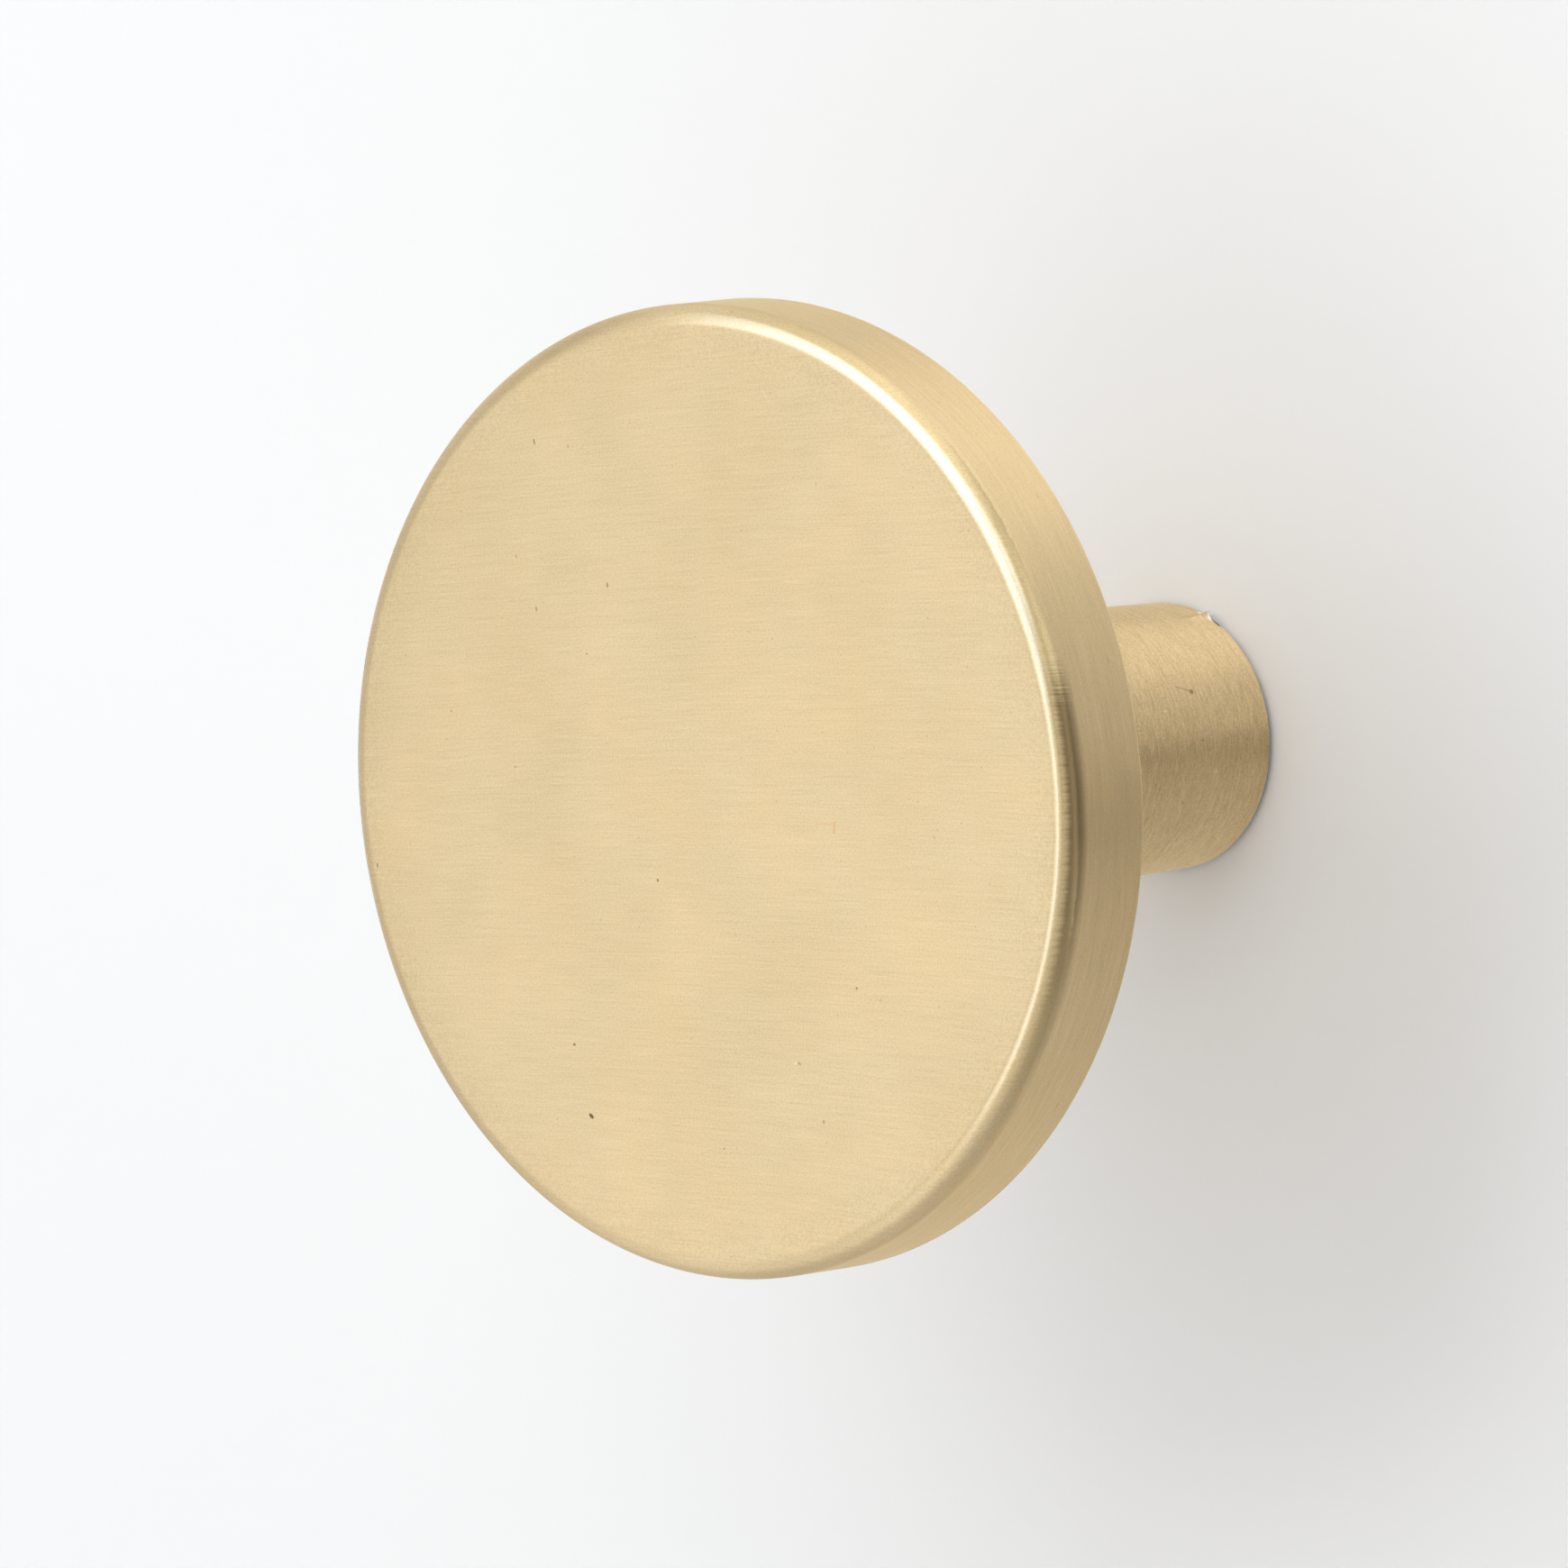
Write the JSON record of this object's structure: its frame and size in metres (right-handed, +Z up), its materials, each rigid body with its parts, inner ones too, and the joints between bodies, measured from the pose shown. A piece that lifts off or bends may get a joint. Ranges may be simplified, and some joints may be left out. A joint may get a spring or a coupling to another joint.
{
  "type": "cabinet knob",
  "caption": "Round flat-faced cabinet knob: a thick disc with a softly rounded face edge on a slightly tapered stem with a blind threaded screw hole.",
  "frame": {"origin": "centre of the stem's end face, where the knob seats on the drawer or cabinet front", "axes": "+Y along the turning axis, out of the screw hole into the front it is fixed to; the disc's face looks towards -Y; +Z is up as the picture shows it, with the face's brushing nearly level"},
  "size_m": [0.04, 0.0292, 0.04],
  "materials": {
    "brushed_brass": "fine linear brushing on the face, fine circumferential brushing on the rim and stem, satin, unlacquered look"
  },
  "bodies": {
    "root": {"knob": "brushed_brass"}
  },
  "joints": []
}
